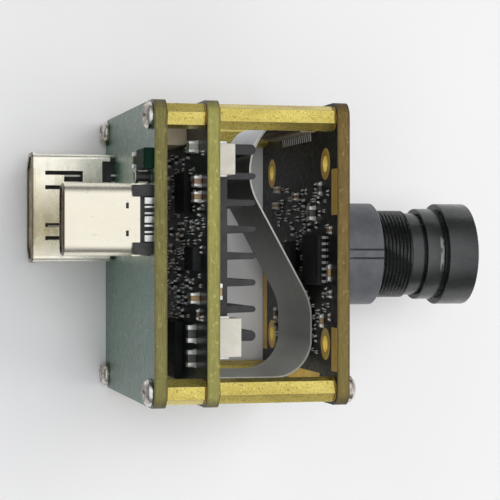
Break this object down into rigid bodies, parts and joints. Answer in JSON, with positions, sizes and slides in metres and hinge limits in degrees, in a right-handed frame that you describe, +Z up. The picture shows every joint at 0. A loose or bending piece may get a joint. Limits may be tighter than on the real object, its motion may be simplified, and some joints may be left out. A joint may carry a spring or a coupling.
{
  "type": "camera module",
  "caption": "Bare board-stack camera module: square circuit boards on brass spacers, a finned heatsink, a flat flex, upright sockets behind and a threaded lens in front.",
  "frame": {"origin": "centre of the bounding box in X and Y, at the height of the boards' lower edges", "axes": "+X along the lens axis, the way the lens looks; +Z up from the edges that the boards stand on; +Y towards the corner where the flex enters the sensor board"},
  "size_m": [0.0582, 0.038, 0.038],
  "materials": {
    "interface_laminate": "green-grey solder mask over glass fibre laminate",
    "black_laminate": "black solder mask over glass fibre laminate",
    "nickel_screw": "nickel plated, lightly burnished",
    "usb_steel": "smooth drawn steel, warm",
    "hdmi_nickel": "champagne nickel plate",
    "black_plastic": "moulded, fine matt",
    "gold_contact": "gold flash",
    "cream_plastic": "moulded, heat resistant",
    "latch_plastic": "brown moulding",
    "chip_epoxy": "moulded epoxy, fine grain",
    "pad_rubber": "soft silicone",
    "black_aluminium": "black anodised extrusion",
    "flex_film": "grey polyimide film, semi-gloss",
    "stiffener_film": "white bonded strip",
    "tinned_metal": "tin plate",
    "white_plastic": "natural nylon",
    "sensor_ceramic": "dark ceramic package",
    "clear_glass": "polished",
    "filter_glass": "polished, blue-green tint",
    "holder_plastic": "filled black plastic, fine matt",
    "anodised_barrel": "black anodised, turned",
    "lens_glass": "polished, coated",
    "ceramic_parts": "fired ceramic bodies with tinned ends",
    "brass": "drawn brass, speckled"
  },
  "bodies": {
    "module": {"interface_board": "interface_laminate", "processor_board": "black_laminate", "sensor_board": "black_laminate", "rear_screws": "nickel_screw", "front_screws": "nickel_screw", "usb_shell": "usb_steel", "usb_base": "black_plastic", "usb_contacts": "gold_contact", "hdmi_shell": "hdmi_nickel", "hdmi_insulator": "black_plastic", "hdmi_contacts": "gold_contact", "link_plug": "cream_plastic", "link_socket": "cream_plastic", "processor_chip": "chip_epoxy", "thermal_pad": "pad_rubber", "heatsink": "black_aluminium", "flex_cable": "flex_film", "flex_stiffeners": "stiffener_film", "flex_lower_socket": "cream_plastic", "flex_upper_socket": "cream_plastic", "flex_upper_latch": "latch_plastic", "flex_lower_contacts": "tinned_metal", "flex_upper_contacts": "tinned_metal", "upper_header": "white_plastic", "upper_header_pins": "tinned_metal", "lower_header": "white_plastic", "lower_header_pins": "tinned_metal", "driver_chip_leads": "tinned_metal", "image_sensor": "sensor_ceramic", "sensor_cover_glass": "clear_glass", "ir_filter": "filter_glass", "lens_holder": "holder_plastic", "rear_spacer_upper_left": "brass", "front_spacer_upper_left": "brass", "rear_spacer_upper_right": "brass", "front_spacer_upper_right": "brass", "rear_spacer_lower_left": "brass", "front_spacer_lower_left": "brass", "rear_spacer_lower_right": "brass", "front_spacer_lower_right": "brass", "interface_chip": "chip_epoxy", "interface_bridge_chip": "chip_epoxy", "power_chip": "chip_epoxy", "memory_chip": "chip_epoxy", "flash_chip": "chip_epoxy", "sensor_driver_chip": "chip_epoxy", "sensor_logic_chip": "chip_epoxy", "interface_outer_parts": "ceramic_parts", "interface_inner_parts": "ceramic_parts", "processor_rear_capacitors": "ceramic_parts", "processor_front_parts": "ceramic_parts", "sensor_rear_parts": "ceramic_parts", "sensor_front_parts": "ceramic_parts"},
    "lens_glass": {"rear_glass": "lens_glass", "rear_glass_ring": "anodised_barrel", "middle_glass": "lens_glass", "middle_glass_ring": "anodised_barrel", "front_glass": "lens_glass", "front_glass_ring": "anodised_barrel"},
    "lens_barrel": {"lens_barrel": "anodised_barrel"}
  },
  "joints": [
    {"name": "focus_travel", "type": "slide", "parent": "module", "child": "lens_glass", "axis": [1, 0, 0], "range_m": [-0.00075, 0.00075]},
    {"name": "focus_turn", "type": "hinge", "parent": "lens_glass", "child": "lens_barrel", "pos_m": [0, 0, 0.019], "axis": [1, 0, 0], "range_deg": [-540, 540]}
  ],
  "couplings": [
    {"joint": "focus_travel", "follows": "focus_turn", "m_per_rad": 0.00007957}
  ]
}
